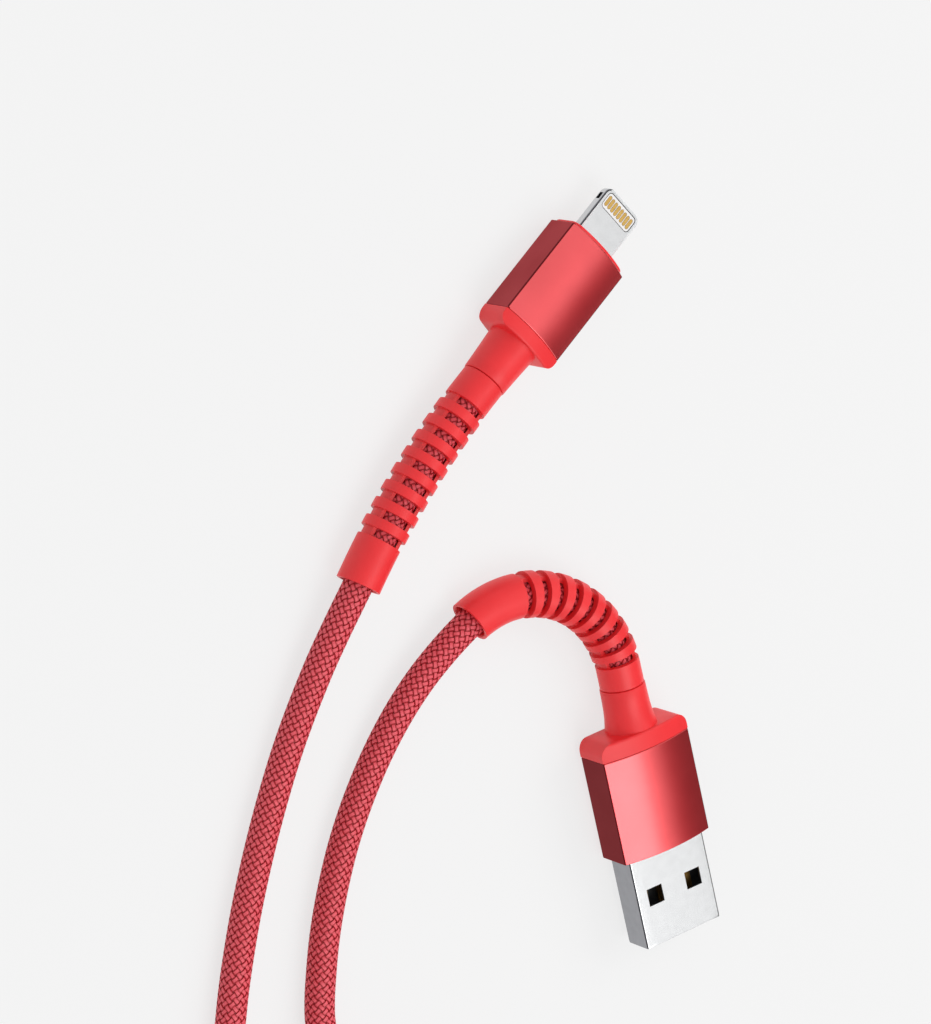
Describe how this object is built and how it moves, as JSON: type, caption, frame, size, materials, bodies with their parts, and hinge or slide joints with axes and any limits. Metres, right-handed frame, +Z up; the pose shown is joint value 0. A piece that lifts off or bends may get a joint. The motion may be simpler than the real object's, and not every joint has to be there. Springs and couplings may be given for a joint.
{
  "type": "charging cable",
  "caption": "Braided charging cable with a wide flat host plug and a slim reversible phone plug, each with an aluminium sleeve, a soft end cap and a slotted strain relief boot.",
  "frame": {"origin": "on the table under the middle of the box round both plugs and their boots, the free cord left out", "axes": "+Z up from the table, the host plug's tip towards -Y, the phone plug's tip towards +X and +Y, the coil towards -X and -Y"},
  "size_m": [0.101, 0.1644, 0.0104],
  "materials": {
    "anodised_red": "fine satin, anodised red",
    "soft_red": "matte moulded elastomer, bright red",
    "braid_red": "woven polymer braid, red",
    "nickel_steel": "nickel plated, satin",
    "gold_plate": "gold plated",
    "clamp_brass": "plain",
    "moulded_white": "moulded white",
    "board_green": "green board",
    "chip_black": "moulded black",
    "tie_black": "matte black strap",
    "wire_black": "insulated wire",
    "wire_green": "insulated wire",
    "wire_white": "insulated wire",
    "wire_red": "insulated wire"
  },
  "bodies": {
    "cord": {"host_boot": "soft_red", "phone_boot": "soft_red", "host_cord_lead": "braid_red", "phone_cord_lead": "braid_red", "cord_run_host": "braid_red", "cord_run_phone": "braid_red", "cord_coil": "braid_red", "coil_tie": "tie_black"},
    "host_plug": {"host_plug_shell": "nickel_steel", "host_contact_carrier": "chip_black", "host_contact_1": "gold_plate", "host_contact_2": "gold_plate", "host_contact_3": "gold_plate", "host_contact_4": "gold_plate", "host_inner_mould": "soft_red", "host_sleeve": "anodised_red", "host_end_cap": "soft_red", "host_cord_clamp": "clamp_brass", "host_wire_black": "wire_black", "host_wire_green": "wire_green", "host_wire_white": "wire_white", "host_wire_red": "wire_red"},
    "phone_plug": {"phone_plug_tongue": "nickel_steel", "phone_contact_block": "moulded_white", "phone_contact_top_1": "gold_plate", "phone_contact_top_2": "gold_plate", "phone_contact_top_3": "gold_plate", "phone_contact_top_4": "gold_plate", "phone_contact_top_5": "gold_plate", "phone_contact_top_6": "gold_plate", "phone_contact_top_7": "gold_plate", "phone_contact_top_8": "gold_plate", "phone_contact_under_1": "gold_plate", "phone_contact_under_2": "gold_plate", "phone_contact_under_3": "gold_plate", "phone_contact_under_4": "gold_plate", "phone_contact_under_5": "gold_plate", "phone_contact_under_6": "gold_plate", "phone_contact_under_7": "gold_plate", "phone_contact_under_8": "gold_plate", "phone_front_trim": "soft_red", "phone_inner_mould": "moulded_white", "phone_board": "board_green", "phone_chip": "chip_black", "phone_regulator": "chip_black", "phone_sleeve": "anodised_red", "phone_end_cap": "soft_red", "phone_cord_clamp": "clamp_brass", "phone_wire_black": "wire_black", "phone_wire_green": "wire_green", "phone_wire_white": "wire_white", "phone_wire_red": "wire_red"}
  },
  "joints": [
    {"name": "host_plug_flex", "type": "hinge", "parent": "cord", "child": "host_plug", "pos_m": [0.00229, -0.00156, 0.00378], "axis": [0, 0, 1], "range_deg": [-30, 30], "stiffness_Nm_per_rad": 0.02, "deforming": ["host_boot", "host_cord_lead"]},
    {"name": "phone_plug_flex", "type": "hinge", "parent": "cord", "child": "phone_plug", "pos_m": [-0.01312, 0.02201, 0.00377], "axis": [0, 0, 1], "range_deg": [-30, 30], "stiffness_Nm_per_rad": 0.02, "deforming": ["phone_boot", "phone_cord_lead"]}
  ]
}
